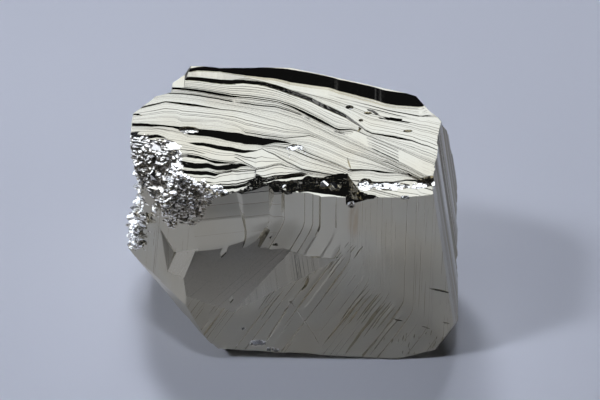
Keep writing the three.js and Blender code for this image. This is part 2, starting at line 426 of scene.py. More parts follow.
TOP_LEVEL = 36.6  # the height of the rim's top
LEAST_RUN = 0.012  # how far a step of the top face runs forward at least
TOP_LINES = {  # from the back to the front
    "rim crest": line(
        [(-30, 10.7), (-18.2, 10.8), (-17.2, 11.2), (-13.5, 11.7), (-7.9, 11.3), (-2.2, 10.6), (2, 9.3),
         (4.8, 8.2), (6.6, 7.3), (9.5, 6.2), (12.4, 5), (14.2, 4), (18.6, 2.9), (20.3, 2.5), (21.2, 3.4),
         (28, 12)],
        [(-20, 0.4), (-17.4, 0.42), (-13.2, 0.78), (-9.1, 1.1), (-4.1, 1.25), (-1.7, 1.5), (2, 1.44),
         (4.8, 1.28), (10.2, 1.45), (15.9, 1.54), (19.6, 1.4), (20.8, 1.2)],
        slope=42,
    ),
    "rim wedge": line(
        [(-30, 10.3), (-18, 10.2), (-13, 10.6), (-9, 9.8), (28, -6)],
        [(-20, 0.21), (-17.4, 0.24), (-13.2, 0.35), (-11.4, 0.28), (-9.4, 0.06), (-8.4, 0)],
        [(0, 0.02), (5, 0.08), (9, 0.14), (20, 0.22)], count=7, slope=13,
    ),
    "dark step": line(
        [(-30, 9.2), (-9.6, 9.1), (-7.9, 8.8), (-6, 8.4), (-4, 7.6), (-2.2, 6.8), (-0.3, 5.7), (2, 4.1),
         (3.8, 2.3), (5.6, 0.9), (7.6, -0.8), (9.7, -3.5), (10.8, -5), (11.7, -5.8), (15.6, -6.7),
         (18.2, -7.9), (28, -15.5)],
        [(-20, 0.34), (-11.4, 0.42), (-9.4, 0.36), (-5.9, 0.32), (-4, 0.3), (-2.1, 0.32), (0, 0.4),
         (5.6, 0.45), (8.6, 0.34), (9.8, 0.2), (11.9, 0.13), (15.9, 0.22), (18.5, 0.09), (21.5, 0.04)],
        [(-20, 0.02), (-12, 0.06), (-4, 0.16), (8, 0.12), (26, 0.14)], count=9, slope=42, grit=0.05,
    ),
    "back line": line(
        [(-30, 7.6), (-21.6, 6.7), (-15.2, 6.1), (-12.7, 5.8), (-9.7, 4.9), (-6, 4.2), (-3.3, 3.5),
         (-1.7, 2.9), (0.2, 1.5), (2, 0), (3.6, -1.6), (5.6, -3.7), (6.4, -4.2), (8.5, -4.4), (9.3, -4.9),
         (10.8, -6.3), (16.2, -10), (28, -21)],
        [(-23, 0.17), (-15, 0.25), (-12.6, 0.24), (-9.6, 0.1), (-3.3, 0.09), (-1.7, 0.16), (2, 0.31),
         (3.6, 0.29), (5.6, 0.17), (8.6, 0.09), (10.9, 0.04)],
        [(-23, 0.14), (-16.5, 0.16), (-9.4, 0.2), (5.6, 0.13), (9.9, 0.06), (26, 0.16)], count=9, slope=28,
    ),
    "faint line": line(
        [(-30, 4.6), (-21.8, 5.4), (-18.2, 5.2), (-13.3, 4.8), (-7.8, 2.9), (-4, 2.4), (-1.7, 1.7),
         (0.2, 0.5), (3.6, -2.4), (5.6, -4.5), (7.3, -5.4), (11, -9.1), (16.2, -13.2), (19.6, -16.8),
         (28, -24)],
        [(-25, 0.04), (-18, 0.1), (-7.8, 0.09), (2, 0.05), (11, 0.08), (20.3, 0.05)],
        [(-25, 0.05), (-13, 0.08), (26, 0.12)], count=5, slope=20,
    ),
    "long stripe": line(
        [(-30, -2), (-28.3, -0.9), (-26.5, 1.1), (-24.7, 2), (-22.3, 3), (-15.1, 2.2), (-11.4, 1.7),
         (-7.8, 0.2), (-4.9, -1.2), (0, -3), (1.6, -3.9), (3.3, -5.3), (7.3, -9), (13, -12.8), (14.1, -13.1),
         (17.1, -15.4), (18.8, -17.2), (28, -25)],
        [(-28.4, 0.05), (-26.4, 0.12), (-24.6, 0.15), (-22.3, 0.11), (-20.2, 0.19), (-18, 0.22),
         (-13.2, 0.07), (-5, 0.03), (12.9, 0.03), (13.9, 0.09), (17.7, 0.08), (20, 0.03)],
        [(-28.4, 0.04), (-18, 0.05), (-9.9, 0.1), (7.4, 0.15), (26, 0.3)], count=16, slope=30,
    ),
    "thin line": line(
        [(-30, -3.1), (-20.4, -1.6), (-19.4, -2.3), (-13.2, -2), (-10.7, -3.1), (-8.8, -4.9), (-5.9, -5.6),
         (-2.6, -6.1), (-1.6, -5.7), (1.6, -5), (2.9, -5.9), (7.3, -9.7), (13, -13.6), (17.1, -16),
         (28, -25.5)],
        [(-20.8, 0), (-19.5, 0.04), (-18, 0.03), (-14, 0), (-9.9, 0), (-8.9, 0.08), (-5.9, 0.1),
         (1.7, 0.06), (3, 0.02)],
        [(-28.4, 0.02), (-18, 0.06), (7.4, 0.09), (26, 0.15)], count=10, slope=28,
    ),
    "middle band": line(
        [(-30, -3.6), (-25.9, -3.3), (-20.8, -3.9), (-16.7, -4.3), (-13.1, -4.3), (-10.3, -4.9), (-8.8, -5.5),
         (-5.9, -6.4), (-2.1, -6.9), (0, -8.3), (3.2, -10.8), (7.3, -14.1), (7.7, -14.6), (11.8, -15.1),
         (16, -15.7), (19.1, -17.2), (28, -25.8)],
        [(-28.4, 0.25), (-26.1, 0.29), (-24.3, 0.25), (-23, 0.17), (-21, 0.17), (-19.3, 0.33),
         (-18.2, 0.63), (-15, 0.62), (-13.2, 0.73), (-10.4, 0.9), (-8.9, 0.87), (-5.9, 0.66), (-4.1, 0.33),
         (-2.1, 0.17), (-1.5, 0.04), (7.6, 0.03), (8.3, 0.2), (11.2, 0.12), (12.6, 0.2), (14.5, 0.11),
         (15.7, 0.02)],
        [(-28.4, 0.02), (-6.3, 0.04), (0, 0.1), (26, 0.1)], count=12, slope=30, grit=0.02,
    ),
    "leaf": line(
        [(-30, -6.9), (-28, -6.6), (-23.3, -6.1), (-22.1, -6.8), (-21.5, -7.5), (-17.7, -7.4), (-15.8, -7.2),
         (-11.2, -7.6), (-9.4, -8.5), (-7, -8.8), (-6.2, -8.2), (-3.2, -11), (0.3, -13.9), (2.4, -14.5),
         (7.2, -16.4), (8.3, -17.4), (12.4, -18.1), (14.3, -18), (16.9, -17.3), (18.5, -17.5), (19, -19.2),
         (28, -26)],
        [(-28.4, 0.18), (-26.6, 0.24), (-24.3, 0.32), (-23.1, 0.27), (-22, 0.09), (-21.5, 0), (-18.3, 0),
         (-16.9, 0.27), (-14.2, 0.36), (-11.4, 0.41), (-9.9, 0.36), (-8.6, 0.25), (-7.4, 0.11), (-6.9, 0.04),
         (-3.3, 0.07), (7.4, 0.03), (10.2, 0.17), (14.9, 0.07), (18.5, 0.17), (19.5, 0.08)],
        [(-28.4, 0.1), (-22.3, 0.14), (-18.2, 0.05), (-6.9, 0.03), (-5.3, 0.2), (-1.7, 0.4), (5, 0.43),
         (7.4, 0.33), (8.6, 0.1)],
        count=14, slope=32, grit=0.03,
    ),
    "tan edge": line(
        [(-30, -9.6), (-24.3, -9.1), (-19.1, -9.7), (-17.4, -9.2), (-15.5, -9.6), (-13.8, -10), (-10.3, -9.9),
         (-7.1, -13.5), (-3.2, -12.2), (0.3, -14), (7.2, -16.6), (8.3, -18.2), (28, -26.5)],
        [(-28.4, 0.03), (-20.5, 0.04), (-17.7, 0.08), (-15.9, 0.07), (-15.2, 0), (-10.7, 0), (-10.4, 0.08),
         (-7.4, 0.08), (-7.1, 0)],
        [(-10.7, 0.02), (-10.4, 0.08), (-7.3, 0.08), (-6.9, 0.02)], count=2,
    ),
    "grey lens": line(
        [(-30, -11.7), (-20, -11.6), (-18.3, -10.5), (-16.5, -10.4), (-14.7, -11.2), (-10.1, -11.3),
         (-8.9, -11.8), (-7.1, -13.7), (-3.1, -12.3), (0.3, -14.1), (7.2, -16.7), (8.3, -18.3), (28, -26.7)],
        [(-28.4, 0.19), (-16.9, 0.25), (-15, 0.14), (-13.7, 0.24), (-11.4, 0.1), (-10.2, 0.04), (-9.3, 0)],
        slope=24,
    ),
    "upper V": line(
        [(-30, -13.1), (-18.8, -12.3), (-14.7, -12), (-13.4, -12.3), (-11.2, -11.6), (-9.4, -11.6),
         (-8.4, -12.3), (-7.1, -13.8), (-3.1, -12.4), (0.3, -14.2), (7.2, -16.8), (8.3, -18.4), (28, -26.9)],
        [(-28.4, 0.44), (-19.3, 0.53), (-16, 0.46), (-13.6, 0.35), (-11.4, 0.42), (-9.9, 0.28), (-8.8, 0.09),
         (-8.3, 0)],
        grit=0.03,
    ),
    "lower V": line(
        [(-30, -14.8), (-19.3, -14.1), (-16.5, -13.5), (-13.6, -13.7), (-11.1, -12.7), (-7.1, -13.9),
         (-3.2, -12.6), (-2.4, -12.4), (-1.6, -12.8), (0.3, -14.3), (7.2, -16.9), (8.3, -18.5), (28, -27)],
        [(-28.4, 0.26), (-19.8, 0.24), (-16, 0.38), (-13.8, 0.3), (-12.9, 0.09), (-7.4, 0.08), (-2.5, 0.05),
         (-1.7, 0)],
        [(-28.4, 0.05), (-14.5, 0.05), (-13.6, 0.14), (-11.4, 0.2), (-8.3, 0.15), (-6.9, 0.03)], count=4,
    ),
    "fine lines": line(
        [(-30, -17.2), (-19.2, -16.8), (-14.1, -16.5), (-12.1, -16.1), (-5.8, -16.1), (0.3, -14.4),
         (7.2, -17), (8.3, -18.9), (28, -27.5)],
        [(-28.4, 0.05), (0.3, 0.09), (1.3, 0)],
        [(-28.4, 0.12), (-14.5, 0.12), (-13.6, 0.03), (0.3, 0.03)], count=2,
    ),
    "front edge": line(
        [(-30, -19.2), (-19.1, -18.3), (-15.2, -17), (-9.3, -16.7), (-5.8, -16.7), (-2.1, -15.2),
         (0.3, -14.6), (3.7, -16.1), (7.2, -18.3), (9, -20.1), (11.1, -21.4), (28, -28)],
        [(-28.4, 0.05), (0.3, 0.09), (1.3, 0)],
        [(-28.4, 0.1), (-13.2, 0.3), (0.3, 0.24), (1.3, 0.02)], count=4, slope=36,
    ),
    "past the front": line([(-30, -26), (28, -30)], [(0, 0.05)], [(0, 0.1)], count=2, slope=40),
}


def small_steps(random, item, a, foot, top, height):
    """The small steps from `foot` forward to `top`, as rows of points, and the height after them.

    The face rises a little towards each of them, so that its treads catch the light unevenly.
    """
    count, columns = item["count"], len(a)
    cotangent = 1 / math.tan(math.radians(item["slope"]))
    places = (np.arange(count) + 0.5 + random.uniform(-0.4, 0.4, count)) / count
    weights = [random.uniform(0.1, 1) ** 2 * (1.05 + smooth_noise(random, columns, 18)) for _ in places]
    total, gap, sum_of_weights = along(item["before"], a), (foot - top) / count, np.sum(weights, 0)
    rows = []
    for place, weight in zip(places, weights):
        step = total * weight / sum_of_weights
        across = foot - (foot - top) * (place + 0.1 / count * smooth_noise(random, columns, 9))
        lift = np.minimum(random.uniform(0.0, 0.045) * gap, 0.035)
        run = np.clip((step + lift) * cotangent, LEAST_RUN, 0.45 * gap)
        rows.append(np.stack([a, across + run / 2, height + lift], 1))
        height = height - step
        rows.append(np.stack([a, across - run / 2, height], 1))
    return rows, height


def growth_step(random, item, a, top, height):
    """The step at a growth line, as rows of points, with its foot and the height there."""
    drop = along(item["drop"], a)
    run = np.maximum(drop * (1 / math.tan(math.radians(item["slope"]))), LEAST_RUN)
    rows = [np.stack([a, top, height], 1)]
    for part in (0.25, 0.5, 0.75) if item["grit"] else ():
        speck = random.normal(0, 1, (2, len(a))) * (random.uniform(0, 1, len(a)) < 0.3)
        shift, sink = item["grit"] * np.clip(speck, -1.2, 1.2)
        rows.append(np.stack([a, top - run * (part + shift), height - drop * (part + sink)], 1))
    rows.append(np.stack([a, top - run, height - drop], 1))
    return rows, top - run, height - drop


def top_cutter():
    """Leaves the top face with its growth lines, which follow each other from the back to the front."""
    wander, least_gap = 0.04, 0.06  # of a line from its points, and from one line to the next
    left, right, columns = -31, 30, 230
    random = np.random.default_rng(11)
    a = np.linspace(left, right, columns)
    height = np.full(columns, TOP_LEVEL)
    foot = along(TOP_LINES["rim crest"]["points"], a) + 8.0
    rows = [np.stack([a, foot, height], 1)]
    for item in TOP_LINES.values():
        ripple = smooth_noise(random, columns, 7) + 0.8 * smooth_noise(random, columns, 1.5)
        top = np.minimum(along(item["points"], a) + wander * ripple, foot - least_gap)
        steps, height = small_steps(random, item, a, foot, top, height)
        riser, foot, height = growth_step(random, item, a, top, height)
        rows += steps + riser
    return block_over(np.array(rows), (0, 0, 8))


# --- the front face: striations that hang straight down and then turn away to the lower left ------

# The height at which a striation turns, as (x, height).
FRONT_BEND = [(-14, 31), (-0.5, 28.5), (3.5, 26.6), (7.2, 23), (11.7, 16.9), (17.1, 12.7), (22, 7), (29, 1)]
FRONT_SWEEP = 0.6  # how far a striation runs to the left for each millimetre down, below the bend


def swept(x, z, bend, sweep):
    """Where a line that starts straight down from x has got to at height z, past its rounded bend."""
    rounding = 1.5  # millimetres
    turned = np.maximum(along(bend, x) - z, 0)
    return x - sweep * (np.sqrt(turned ** 2 + rounding ** 2) - rounding)


def front_cutter():
    """Leaves the front face with its striations: strips that lean a little, from left to right."""
    left, right, top, bottom = -16.0, 32.0, 38.0, -2.0  # past the edges of the face
    random = np.random.default_rng(5)
    z = np.linspace(top, bottom, 46)
    x, rows = left, []
    while x < right:
        width = strip_width(random, 0.42)
        below_bend = np.clip((along(FRONT_BEND, x) - z) / 4, 0, 1)
        tilt = random.uniform(2, 9) + random.uniform(0, 6) * below_bend
        level = 0.04 + 0.04 * smooth_noise(random, len(z), 5)
        other = level + width * np.tan(np.radians(tilt)) * (0.75 + 0.35 * smooth_noise(random, len(z), 6))
        riser = random.uniform(0.5, 1.2) * (other.mean() - level.mean())
        for start, depth in ((x + riser, level), (x + width - 0.01, other)):
            rows.append(np.stack([swept(start, z, FRONT_BEND, FRONT_SWEEP), FRONT + depth, z], 1))
        x += width
    return block_over(np.array(rows), (0, -FAR, 0))


# The set-back left half of the front, in plan from left to right: long faces that look forward, and
# short steps between them that look to the left. Each point is (x, y, how far the edge drifts to the
# right for each millimetre up, how strongly the bands show).
FOLD_PLAN = [
    (-40, -24.1, 0, 1), (-9.55, -18.5, -0.18, 1), (-8.95, -19.0, -0.1, 1), (-5.0, -18.27, 0, 1),
    (-4.15, -18.95, 0, 0.7), (-2.95, -18.72, 0, 0.6), (-2.5, -19.05, 0, 0.2), (-2.45, -19.2, 0, 0.2),
    (-2.1, -19.4, 0, 0.1), (-0.3, -19.06, 0, 0), (0.7, -19.55, 0, 0), (0.8, -19.7, 0, 0), (2.0, -20.2, 0, 0),
    (2.1, -20.35, 0, 0), (3.05, -20.8, 0, 0), (3.3, -21.15, 0, 0), (5.6, -21.25, 0, 0), (5.85, -21.5, 0, 0),
    (12, -22.5, 0, 0),
]
FOLD_BEND = [(-11, 22), (-5, 26.6), (-3, 27.6), (-0.4, 27), (3, 27.5), (6, 27)]  # like FRONT_BEND
FOLD_SWEEP = 0.52  # like FRONT_SWEEP
BENCH = 21.2  # the height at which the steps end
SLAB_EDGES = (2, 3)  # the slab between the first two steps, by the numbers of its points in the plan
SLAB_FOOT = 24.7  # the height at which the slab ends
SLAB_DEPTH = 0.14  # how far the slab stands out from the face below it
# Bands across that half, as (height, how far the face has stepped back there).
FOLD_BANDS = [
    (40, 2.2), (31.6, 0.72), (31.55, 0.62), (29.7, 0.34), (29.6, 0.4), (28.4, 0.2), (27.4, 0.05),
    (27.3, 0.12), (27.0, 0.07), (24.2, 0.0), (24.15, 0.04), (21.0, -0.12), (10, -0.12), (-2, -0.12),
]


def fold_cutter():
    """Leaves the set-back left half of the front with its folds and bands."""
    heights = [band[0] for band in FOLD_BANDS] + [SLAB_FOOT, SLAB_FOOT + 0.06]
    z = np.unique(np.concatenate([heights, np.linspace(-2, 40, 43)]))
    back = along(FOLD_BANDS[::-1], z)
    rows = []
    for number, (x, y, drift, banding) in enumerate(FOLD_PLAN):
        edge = swept(x, z, FOLD_BEND, FOLD_SWEEP) + drift * (np.maximum(z, SLAB_FOOT) - 28)
        flush = SLAB_DEPTH * (z < SLAB_FOOT + 0.03) if number in SLAB_EDGES else 0
        rows.append(np.stack([edge, y + banding * back + flush, z], 1))
    return block_over(np.array(rows), (0, -FAR, 0))


# Lines scored into the front, as (x, height) from their upper ends, with their width and depth.
FRONT_LINES = {
    "fold edge": ([(4.0, 26.6), (2.4, 23.4), (0.3, 19.6)], 0.5, 0.3),
    "hill left": ([(-1.6, 12.1), (-3.6, 8.2), (-6.1, 3.2)], 0.42, 0.16),
    "hill right": ([(-1.4, 12.1), (0.9, 7.6), (3.3, 3.0)], 0.32, 0.14),
    "notch": ([(1.3, 17.6), (0.9, 16.0), (0.3, 14.6)], 0.5, 0.3),
    "long diagonal": ([(13.4, 12.1), (10.2, 6.4), (7.2, 0.8)], 0.4, 0.2),
    "upper diagonal": ([(10.3, 13.5), (6.8, 8.2), (3.6, 3.0)], 0.3, 0.16),
    "crack": ([(20.9, 15.1), (22.6, 14.6), (24.6, 14.1)], 0.4, 0.3),
    "short crack": ([(15.0, 8.8), (16.0, 8.5), (17.2, 8.1)], 0.3, 0.25),
    "low crack": ([(20.0, 7.2), (21.4, 6.6)], 0.2, 0.15),
    "low crack end": ([(23.3, 8.0), (24.6, 7.7)], 0.2, 0.15),
}
# Families of short lines that follow the striations, as (x, height, length) of the highest line, the step
# to the next one, how many there are, and their width.
FRONT_FAMILIES = [
    ((4.6, 26.4, 6.5), (0.42, -0.62), 9, 0.17),
    ((11.2, 15.6, 8.5), (0.5, -0.42), 10, 0.2),
    ((15.4, 13.0, 9.0), (0.34, -0.9), 5, 0.18),
    ((8.0, 24.5, 2.4), (0.55, -0.3), 5, 0.14),
    ((-3.8, 15.4, 7.0), (0.42, -0.25), 4, 0.15),
]
FRONT_FLECKS = 34  # how many tiny lines there are low on the right of the front


def front_scores():
    """The lines of the front: the named ones, and the many short ones that follow the striations."""
    random = np.random.default_rng(8)
    face = (-90, 0, (0, FRONT + 0.05, 0))
    bars = [
        score(number, *face, points, width, depth, skew=-0.8)
        for number, (points, width, depth) in enumerate(FRONT_LINES.values())
    ]
    for (x, z, length), (right, up), count, width in FRONT_FAMILIES:
        for i in range(count):
            start_x = x + right * i + random.uniform(-0.1, 0.1)
            start_z = z + up * i + random.uniform(-0.8, 0.8)
            fall = length * random.uniform(0.45, 1.0)
            falls = ((0, 0), (0.3 * fall, 0.45 * fall), (0.6 * fall, fall))
            points = [(start_x - left, start_z - down) for left, down in falls]
            width_here = width * random.uniform(0.7, 1.3)
            bars.append(score(50 + len(bars), *face, points, width_here, 0.12, skew=-0.8))
    for _ in range(FRONT_FLECKS):
        x, z = random.uniform(12, 24), random.uniform(1.2, 6.5)
        fall = random.uniform(0.5, 1.6)
        bars.append(score(50 + len(bars), *face, [(x, z), (x - 0.15 * fall, z - fall)], 0.16, 0.1))
    return bars


# --- the crystal ----------------------------------------------------------------------------------

# The striations of the uncut crystal's faces, by the heading and the rise of each face.
FACE_STYLES = {
    "right": ((-7, 9.5), dict(pitch=0.5, depth=0.35, tilt=10, lean=6, turn=88)),
    "right shoulder": ((31, 32), dict(pitch=0.7, depth=0.3, tilt=6, turn=60)),
    "right back": ((27, -6), dict(pitch=0.6, depth=0.3, tilt=5, turn=86)),
    "right back low": ((12, -21), dict(pitch=0.8, depth=0.3, tilt=5, turn=80)),
    "back": ((68, 12), dict(pitch=0.8, depth=0.2, tilt=3, turn=4)),
    "back left": ((88, 10), dict(pitch=0.9, depth=0.35, tilt=4, turn=2)),
    "left back": ((143, 6), dict(pitch=0.7, depth=0.35, tilt=5, turn=87)),
    "left": ((180, 5), dict(pitch=0.6, depth=0.3, tilt=5, turn=5)),
    "front left": ((-135, 4), dict(pitch=0.8, depth=0.2, tilt=3, turn=85)),
    "left undercut": ((-141, -18.9), dict(pitch=1.4, depth=0.15, tilt=1.5, turn=52)),
    "left toe": ((200, -38), dict(pitch=1.2, depth=0.25, tilt=4, turn=20)),
    "front toe": ((-95, -52), dict(pitch=0.8, depth=0.2, tilt=5, turn=10)),
    "right undercut": ((-30, -25), dict(pitch=0.6, depth=0.25, tilt=5, turn=75)),
    "right toe": ((-45, -64.7), dict(pitch=0.8, depth=0.2, tilt=5, turn=30)),
}


def growth_faces(node):
    """The planes of a CAD solid that nothing of it lies in front of: the uncut crystal's own faces."""
    smallest = 0.3  # square millimetres
    slack = 0.02  # how far the solid may reach past a plane
    parallel = 0.9995  # the cosine of the angle between two normals that count as the same
    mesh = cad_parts[node].data
    points = np.array([v.co for v in mesh.vertices]) / MM - LAYOUT
    found = []
    for polygon in mesh.polygons:
        normal = np.array(polygon.normal)
        if polygon.area < smallest * MM * MM:
            continue
        reach = (points[list(polygon.vertices)] @ normal).max()
        known = any(normal @ other > parallel for other, _ in found)
        if not known and (points @ normal).max() < reach + slack:
            found.append((normal, reach))
    return found


def uncut_crystal(faces):
    """The block that the growth faces bound, from the corners where three of them meet."""
    corners = []
    for three in itertools.combinations(faces, 3):
        normals = np.array([normal for normal, _ in three])
        if abs(np.linalg.det(normals)) < 1e-4:
            continue
        corner = np.linalg.solve(normals, [reach for _, reach in three])
        if all(normal @ corner < reach + 1e-4 for normal, reach in faces):
            corners.append(corner)
    body = hull_of(corners, SMOOTH, merge=0.005)
    body.name, body.data.name = "pyrite_specimen", "pyrite crystal"
    return body


def finish_growth_faces(body, faces):
    """Gives the faces in FACE_STYLES their striations, and paints those that face right darker, as painted
    shade.
    """
    for normal, reach in faces:
        for seed, (direction, style) in enumerate(FACE_STYLES.values()):
            if normal @ facet_axes(*direction)[2] > 0.999:
                surface = striae(seed + 20, span=(-45, 45, -45, 45), **style)
                # faces that look to the right get the darker pyrite colour: painted shade
                faces_right = abs(direction[0]) < 35
                finish = PAINTED_SHADE if faces_right else SMOOTH
                cut(body, facet(*direction, normal * reach, surface, finish))


def cut_rim_steps(body):
    """The stepped left end of the rim."""
    cut(body, facet(180, 41, (-18.4, 10, 36.6)), facet(0, 90, (-20, 9, 35.45)))
    cut(body, facet(115, 8, (-22.9, 4.9, 35)), facet(178, 12, (-21.5, 6.3, 35)), facet(150, 60, (-22, 6, 31)))


GROOVE_NUGGETS = [
    ((3.9, -17.0, 32.4), (0.9, 0.8, 0.7)), ((5.3, -17.3, 32.3), (1.1, 0.8, 0.8)),
    ((6.6, -17.2, 32.3), (0.6, 0.5, 0.9)), ((-2.4, -17.3, 32.1), (0.5, 0.4, 0.4)),
    ((1.2, -18.0, 32.2), (0.4, 0.4, 0.4)),
]


def cut_front_groove(body):
    """The black bevel along the front of the top face, with the pit and the short groove to its right."""
    dark = dict(cell=0.42, tilt=5, depth=0.04, swell=0.1, span=(-16, 16, -8, 8))
    cut(
        body,
        facet(-77, 65, (0.3, -14.2, 33.4), broken(31, **dark)),
        facet(-112, 54, (0.3, -14.2, 33.4), broken(32, **dark)),
        facet(180, 10, (3.4, -17.0, 33.4)),
        facet(88, 42, (0.0, -19.9, 33.3), broken(33, **dark)),
    )
    cut(
        body,
        facet(-107, 65, (-6.0, -16.3, 32.9), broken(34, **dark)),
        facet(180, 10, (-1.0, -17.0, 33.4)),
        facet(0, 10, (-12.8, -17.5, 32.0)),
    )
    cut(
        body,
        facet(-100, 56, (3.7, -15.3, 33.4), broken(35, **dark)),
        facet(-156, 20, (8.2, -17.4, 33.4), broken(36, **dark)),
        facet(0, 4, (0.9, -18.0, 33.4)),
        facet(75, 44, (1.2, -19.9, 33.3), broken(37, **dark)),
    )
    cut(
        body,
        facet(-117, 56, (11.2, -21.1, 33.5), broken(39, **dark)),
        facet(0, 4, (7.2, -21.0, 33.2)),
        facet(180, 20, (13.4, -21.0, 33.0)),
    )
    grow_nuggets(body, GROOVE_NUGGETS, seed=3)


# Broken patches of the top face, as (middle, half width, half depth, usual lean, cell).
TOP_PATCHES = {
    "glitter": ((-0.8, -9.4, 33.62), 1.9, 2.0, 15, 0.3),
    "pale patch": ((-18.2, -4.5, 34.3), 1.7, 0.8, 9, 0.25),
    "back spot": ((8.2, 1.3, 34.8), 0.7, 0.6, 14, 0.25),
    "second spot": ((11.2, -0.3, 34.7), 0.7, 0.4, 14, 0.25),
    "blue spot": ((17.6, -5.4, 34.55), 0.8, 0.4, 16, 0.3),
    "curve spot": ((10.0, -2.4, 34.6), 0.4, 0.4, 16, 0.25),
    "shelf left": ((10.4, -18.6, 33.42), 1.3, 1.5, 16, 0.36),
    "shelf middle": ((14.2, -18.9, 33.48), 3.4, 1.2, 13, 0.42),
    "shelf right": ((19.6, -18.7, 33.62), 3.6, 1.1, 13, 0.36),
}
# Dark lines across the right of the top face, as (x, y) from left to right, with height, width and depth.
TOP_SCORES = {
    "right line": ([(12.6, -1.7), (14.3, -1.8), (16.2, -2.3), (18.9, -2.9), (22.6, -3.4)], 34.68, 0.42, 0.16),
    "short line": ([(20.0, -1.6), (23.4, -1.9)], 34.72, 0.25, 0.12),
    "arc": ([(9.0, 1.2), (11.0, 0.9), (12.2, 0.1), (13.4, -1.5)], 34.76, 0.18, 0.08),
    "link": ([(10.5, -2.2), (12.8, -2.3), (14.8, -2.2)], 34.65, 0.16, 0.08),
    "hook": ([(9.2, -5.4), (9.9, -4.6), (9.6, -3.9)], 34.5, 0.22, 0.12),
    "stray line": ([(18.0, -9.6), (21.0, -10.6), (24.0, -11.9)], 34.45, 0.16, 0.07),
    "bay": ([(-27.8, -1.0), (-26.8, -0.8), (-25.9, -1.2)], 34.9, 0.2, 0.1),
    "low line": ([(-25.2, -8.0), (-22.0, -8.0)], 34.1, 0.22, 0.1),
    "shelf edge": ([(7.6, -11.5), (7.8, -13.0), (8.2, -15.4)], 33.8, 0.2, 0.1),
    "triangle": ([(17.0, -16.6), (18.6, -15.9)], 33.76, 0.5, 0.16),
}


def cut_top_details(body):
    """The broken patches of the top face, and the dark lines across its right side."""
    for number, (middle, across, deep, lean, cell) in enumerate(TOP_PATCHES.values()):
        reach = max(across, deep) + 1
        span = (-reach, reach, -reach, reach)
        rough = broken(70 + number, cell=cell, tilt=lean, depth=0.1, swell=0.15, span=span)
        cut(body, facet(-90, 90, middle, rough, ROUGH_PAINTED_BRIGHT), slab(-90, 90, middle, oval(across, deep), 0.6))
    bars = [
        score(number, -90, 90, (0, 0, height), points, width, depth, skew=-0.9)
        for number, (points, height, width, depth) in enumerate(TOP_SCORES.values())
    ]
    cut(body, joined(bars))


# Hollows in the dark facet, each as its outline of (along, up) points and its depth at each of them.
RECESS_HOLLOWS = [
    ([(0.35, 1.5), (0.75, 0.9), (0.2, -0.7), (-0.6, -1.4), (-0.75, -0.6), (-0.2, 0.7)],
     (0.05, 0.02, 0.3, 0.32, 0.3, 0.1)),
    ([(0.9, -8.2), (1.1, -9.0), (0.6, -9.6), (0.3, -8.9)], (0.05, 0.2, 0.25, 0.1)),
]


def cut_recess(body):
    """The set-back left half of the front: its folds, and the dark facet below them."""
    heading, rise = -83.5, 13.8  # of the dark facet
    # the dark facet gets the darker pyrite colour, a painted shade, besides its own tilt
    dark = (heading, rise, (-12, FRONT, 10.4), striae(42, depth=0.03, tilt=0.4, turn=40), PAINTED_SHADE)
    step = (-120, 38, (-9.8, FRONT, 10.8), striae(43, pitch=0.6, depth=0.08, tilt=2, turn=-62))
    cut(body, fold_cutter(), facet(*dark), facet(*step))
    below_bench, back = facet(0, -90, (0, 0, BENCH)), facet(-82, 0, (-5, -17.2, 0))
    cut(body, facet(*dark), facet(*step), below_bench, back)
    for outline, depths in RECESS_HOLLOWS:
        cut(body, slab(heading, rise, (-12.2, -19.25, 21), outline, depths))


# Fine lines on the pale bevel, as (along, up) points with their width and depth.
FLARE_LINES = [
    ([(-0.8, 5.4), (0.0, 4.2), (0.7, 2.2), (0.9, -0.5)], 0.25, 0.08),
    ([(-0.4, 5.4), (0.5, 3.6), (1.0, 1.6)], 0.2, 0.06),
    ([(1.4, 4.5), (1.7, 1.5), (1.3, -2.5)], 0.25, 0.06),
]


def cut_left_flare(body):
    """The pale bevel beside the recess, with a dark lens-shaped step along its left side."""
    cut(
        body,
        facet(-119, -6.5, (-22.4, -17.0, 24.6), striae(51, pitch=1.6, depth=0.06, tilt=0.8, turn=80)),
        facet(-139, 27, (-16.8, -19.6, 21.6), striae(52, pitch=2.2, depth=0.06, tilt=0.8, turn=75)),
        facet(-76, 14.5, (-20.5, -17.3, 19.0), striae(53, pitch=0.6, depth=0.05, tilt=2.5, turn=85)),
    )
    bars = [
        score(seed, -119, -6.5, (-19.5, -18.5, 22.6), points, width, depth)
        for seed, (points, width, depth) in enumerate(FLARE_LINES, 1)
    ]
    cut(body, joined(bars))


HOLLOW_NUGGETS = [
    ((-23.4, -12.4, 29.8), (1.0, 0.9, 2.4)), ((-22.2, -12.8, 29.0), (0.7, 0.8, 1.7)),
    ((-24.8, -11.4, 28.8), (0.9, 0.9, 1.9)), ((-21.2, -13.2, 30.4), (0.7, 0.7, 1.2)),
    ((-18.6, -15.8, 31.0), (0.9, 0.7, 0.6)), ((-14.6, -18.2, 30.9), (0.8, 0.6, 0.5)),
]
# The crumbled facets of the hollow, of the bevel to its right and of the strip below it.
HOLLOW = (-168, 34, (-20, -13, 33.2))
HOLLOW_END = (-108, 50, (-22.8, -9.3, 33.5))
BEVEL = (-114, 31, (-15.7, -16.7, 33.1))
STRIP = (-152, 4, (-25.85, -15.1, 20))
# Where the little plates grow, as a facet, (left, right, low, high), how many, and their size.
DRUSES = [
    (*HOLLOW, (-4.5, 3, -7.5, 0.2), 150, 0.4),
    (*HOLLOW_END, (-3.6, 2.5, -4.5, 0), 80, 0.42),
    (*BEVEL, (-4.4, 0, -4.7, 0), 130, 0.42),
    (*BEVEL, (0, 4.4, -2, 0), 60, 0.38),
    (-130, 2, (-21.35, -17.85, 25.5), (-1.2, 1.6, -0.6, 4), 90, 0.3),
    (*STRIP, (-3.2, 0.6, -3.5, 6.5), 110, 0.42),
]


